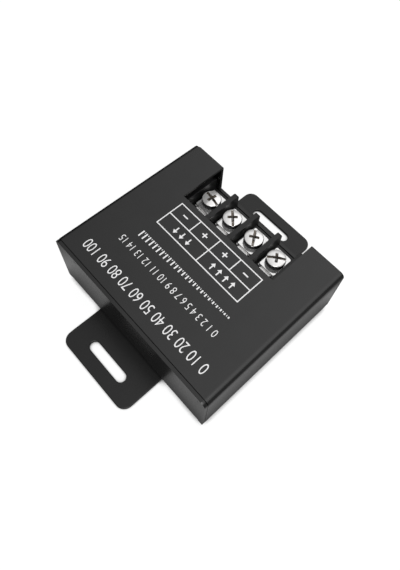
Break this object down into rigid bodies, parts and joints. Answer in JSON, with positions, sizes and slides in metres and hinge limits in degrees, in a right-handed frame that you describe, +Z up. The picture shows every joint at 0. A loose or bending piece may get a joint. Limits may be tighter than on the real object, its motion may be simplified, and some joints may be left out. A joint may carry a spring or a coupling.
{
  "type": "led strip controller",
  "caption": "Low-voltage dimming controller in a folded sheet-metal case with a barrier terminal block and slotted mounting ears.",
  "frame": {"origin": "bottom centre of the case, on the mounting strap's underside", "axes": "+Z up, away from the surface it is fixed to; -Y towards the terminals; +X to the right for someone who faces the terminals; the mounting ears lie along Y"},
  "size_m": [0.062, 0.0808, 0.024],
  "materials": {
    "strap_metal": "satin dark grey",
    "case_metal": "satin dark grey",
    "white_ink": "screen-printed ink",
    "black_screw_steel": "blackened",
    "black_plastic": "moulded",
    "sleeve_plastic": "shrunk sleeve",
    "bright_nickel": "nickel plate",
    "tinned_metal": "tinned",
    "can_aluminium": "drawn",
    "standoff_brass": "turned",
    "bar_copper": "bare copper",
    "board_green": "solder mask",
    "board_blue": "solder mask",
    "pressboard": "pressed fibre",
    "ceramic": "fired ceramic"
  },
  "bodies": {
    "case": {"mounting_strap": "strap_metal", "base_tray": "case_metal", "top_cover": "case_metal", "cover_screws": "black_screw_steel", "insulating_sheet": "pressboard", "board_standoffs": "standoff_brass", "circuit_board": "board_green", "board_screws": "tinned_metal", "terminal_block": "black_plastic", "contact_1": "tinned_metal", "contact_2": "tinned_metal", "contact_3": "tinned_metal", "contact_4": "tinned_metal", "copper_bars": "bar_copper", "transistor_bodies": "black_plastic", "transistor_tabs": "tinned_metal", "transistor_leads": "tinned_metal", "capacitor_cans": "can_aluminium", "capacitor_sleeves": "sleeve_plastic", "microcontroller": "black_plastic", "microcontroller_leads": "tinned_metal", "voltage_regulator": "black_plastic", "regulator_tab": "tinned_metal", "protection_diode": "black_plastic", "diode_leads": "tinned_metal", "receiver_header": "black_plastic", "receiver_board": "board_blue", "receiver_shield": "tinned_metal", "chip_resistors": "black_plastic", "chip_capacitors": "ceramic"},
    "clamp_1": {"clamp_plate_1": "bright_nickel"},
    "screw_1": {"terminal_screw_1": "bright_nickel", "lock_washer_1": "bright_nickel"},
    "clamp_2": {"clamp_plate_2": "bright_nickel"},
    "screw_2": {"terminal_screw_2": "bright_nickel", "lock_washer_2": "bright_nickel"},
    "clamp_3": {"clamp_plate_3": "bright_nickel"},
    "screw_3": {"terminal_screw_3": "bright_nickel", "lock_washer_3": "bright_nickel"},
    "clamp_4": {"clamp_plate_4": "bright_nickel"},
    "screw_4": {"terminal_screw_4": "bright_nickel", "lock_washer_4": "bright_nickel"}
  },
  "joints": [
    {"name": "clamp_lift_1", "type": "slide", "parent": "case", "child": "clamp_1", "axis": [0, 0, 1], "range_m": [0, 0.0024]},
    {"name": "screw_turn_1", "type": "hinge", "parent": "clamp_1", "child": "screw_1", "pos_m": [0.01615, -0.0197, 0.014], "axis": [0, 0, 1], "range_deg": [0, 1441]},
    {"name": "clamp_lift_2", "type": "slide", "parent": "case", "child": "clamp_2", "axis": [0, 0, 1], "range_m": [0, 0.0024]},
    {"name": "screw_turn_2", "type": "hinge", "parent": "clamp_2", "child": "screw_2", "pos_m": [0.00665, -0.0197, 0.014], "axis": [0, 0, 1], "range_deg": [0, 1441]},
    {"name": "clamp_lift_3", "type": "slide", "parent": "case", "child": "clamp_3", "axis": [0, 0, 1], "range_m": [0, 0.0024]},
    {"name": "screw_turn_3", "type": "hinge", "parent": "clamp_3", "child": "screw_3", "pos_m": [-0.00285, -0.0197, 0.014], "axis": [0, 0, 1], "range_deg": [0, 1441]},
    {"name": "clamp_lift_4", "type": "slide", "parent": "case", "child": "clamp_4", "axis": [0, 0, 1], "range_m": [0, 0.0024]},
    {"name": "screw_turn_4", "type": "hinge", "parent": "clamp_4", "child": "screw_4", "pos_m": [-0.01235, -0.0197, 0.014], "axis": [0, 0, 1], "range_deg": [0, 1441]}
  ],
  "couplings": [
    {"joint": "screw_turn_1", "follows": "clamp_lift_1", "rad_per_m": 10472},
    {"joint": "screw_turn_2", "follows": "clamp_lift_2", "rad_per_m": 10472},
    {"joint": "screw_turn_3", "follows": "clamp_lift_3", "rad_per_m": 10472},
    {"joint": "screw_turn_4", "follows": "clamp_lift_4", "rad_per_m": 10472}
  ]
}
